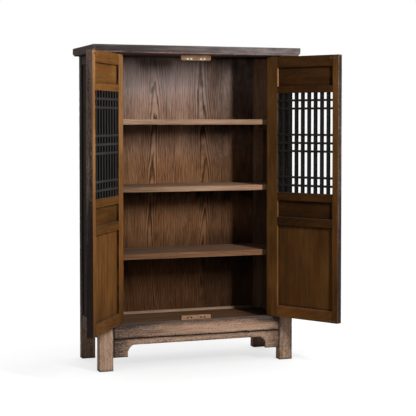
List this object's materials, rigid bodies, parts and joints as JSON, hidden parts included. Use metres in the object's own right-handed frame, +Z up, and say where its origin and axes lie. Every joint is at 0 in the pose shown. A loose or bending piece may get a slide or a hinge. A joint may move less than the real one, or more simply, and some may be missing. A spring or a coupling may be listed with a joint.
{
  "type": "book cabinet",
  "caption": "Tall two-door wooden book cabinet on four square legs, with lattice windows in pivot-hung doors, open shelves, a bracketed apron and a thick overhanging top.",
  "frame": {"origin": "on the floor under the cabinet's centre plane, midway between the front of the open doors and the back of the top board", "axes": "+Z up, +X to the right seen from the front, +Y towards the back"},
  "size_m": [1.2855, 0.7554, 1.6],
  "materials": {
    "stained_wood": "worn dark stain over old wood",
    "plain_wood": "unstained, dry and dusty",
    "door_wood": "oiled brown inside, dark stain outside",
    "dark_lattice_wood": "dark stain",
    "pale_wood": "new, unstained",
    "magnet": "bright plated",
    "screw_steel": "plain"
  },
  "bodies": {
    "carcass": {"back_board_1": "plain_wood", "back_board_2": "plain_wood", "back_board_3": "plain_wood", "back_board_4": "plain_wood", "bottom_board": "plain_wood", "bottom_catch_block": "pale_wood", "bottom_magnets": "magnet", "bottom_shelf": "plain_wood", "front_apron": "stained_wood", "front_rail": "stained_wood", "left_bottom_shelf_cleat": "plain_wood", "left_bottom_side_rail": "stained_wood", "left_front_leg": "stained_wood", "left_middle_shelf_cleat": "plain_wood", "left_rear_leg": "stained_wood", "left_side_panel": "stained_wood", "left_top_shelf_cleat": "plain_wood", "left_top_side_rail": "stained_wood", "middle_shelf": "plain_wood", "rear_bottom_rail": "plain_wood", "rear_top_rail": "stained_wood", "right_bottom_shelf_cleat": "plain_wood", "right_bottom_side_rail": "stained_wood", "right_front_leg": "stained_wood", "right_middle_shelf_cleat": "plain_wood", "right_rear_leg": "stained_wood", "right_side_panel": "stained_wood", "right_top_shelf_cleat": "plain_wood", "right_top_side_rail": "stained_wood", "top_board": "stained_wood", "top_catch_block": "pale_wood", "top_magnets": "magnet", "top_shelf": "plain_wood"},
    "left_door": {"left_door_bottom_rail": "door_wood", "left_door_free_stile": "door_wood", "left_door_high_rail": "door_wood", "left_door_hinge_stile": "door_wood", "left_door_lattice_crossbars": "dark_lattice_wood", "left_door_lattice_uprights": "dark_lattice_wood", "left_door_low_rail": "door_wood", "left_door_lower_panel": "door_wood", "left_door_middle_panel": "door_wood", "left_door_middle_rail": "door_wood", "left_door_strike_screws": "screw_steel", "left_door_top_panel": "door_wood", "left_door_top_rail": "door_wood"},
    "right_door": {"right_door_bottom_rail": "door_wood", "right_door_free_stile": "door_wood", "right_door_high_rail": "door_wood", "right_door_hinge_stile": "door_wood", "right_door_lattice_crossbars": "dark_lattice_wood", "right_door_lattice_uprights": "dark_lattice_wood", "right_door_low_rail": "door_wood", "right_door_lower_panel": "door_wood", "right_door_middle_panel": "door_wood", "right_door_middle_rail": "door_wood", "right_door_strike_screws": "screw_steel", "right_door_top_panel": "door_wood", "right_door_top_rail": "door_wood"}
  },
  "joints": [
    {"name": "left_door_pivot", "type": "hinge", "parent": "carcass", "child": "left_door", "pos_m": [-0.4083, -0.02277, 0.222], "axis": [0, 0, 1], "range_deg": [-1.4, 124.05]},
    {"name": "right_door_pivot", "type": "hinge", "parent": "carcass", "child": "right_door", "pos_m": [0.4083, -0.02277, 0.222], "axis": [0, 0, 1], "range_deg": [-121.65, 3.8]}
  ]
}
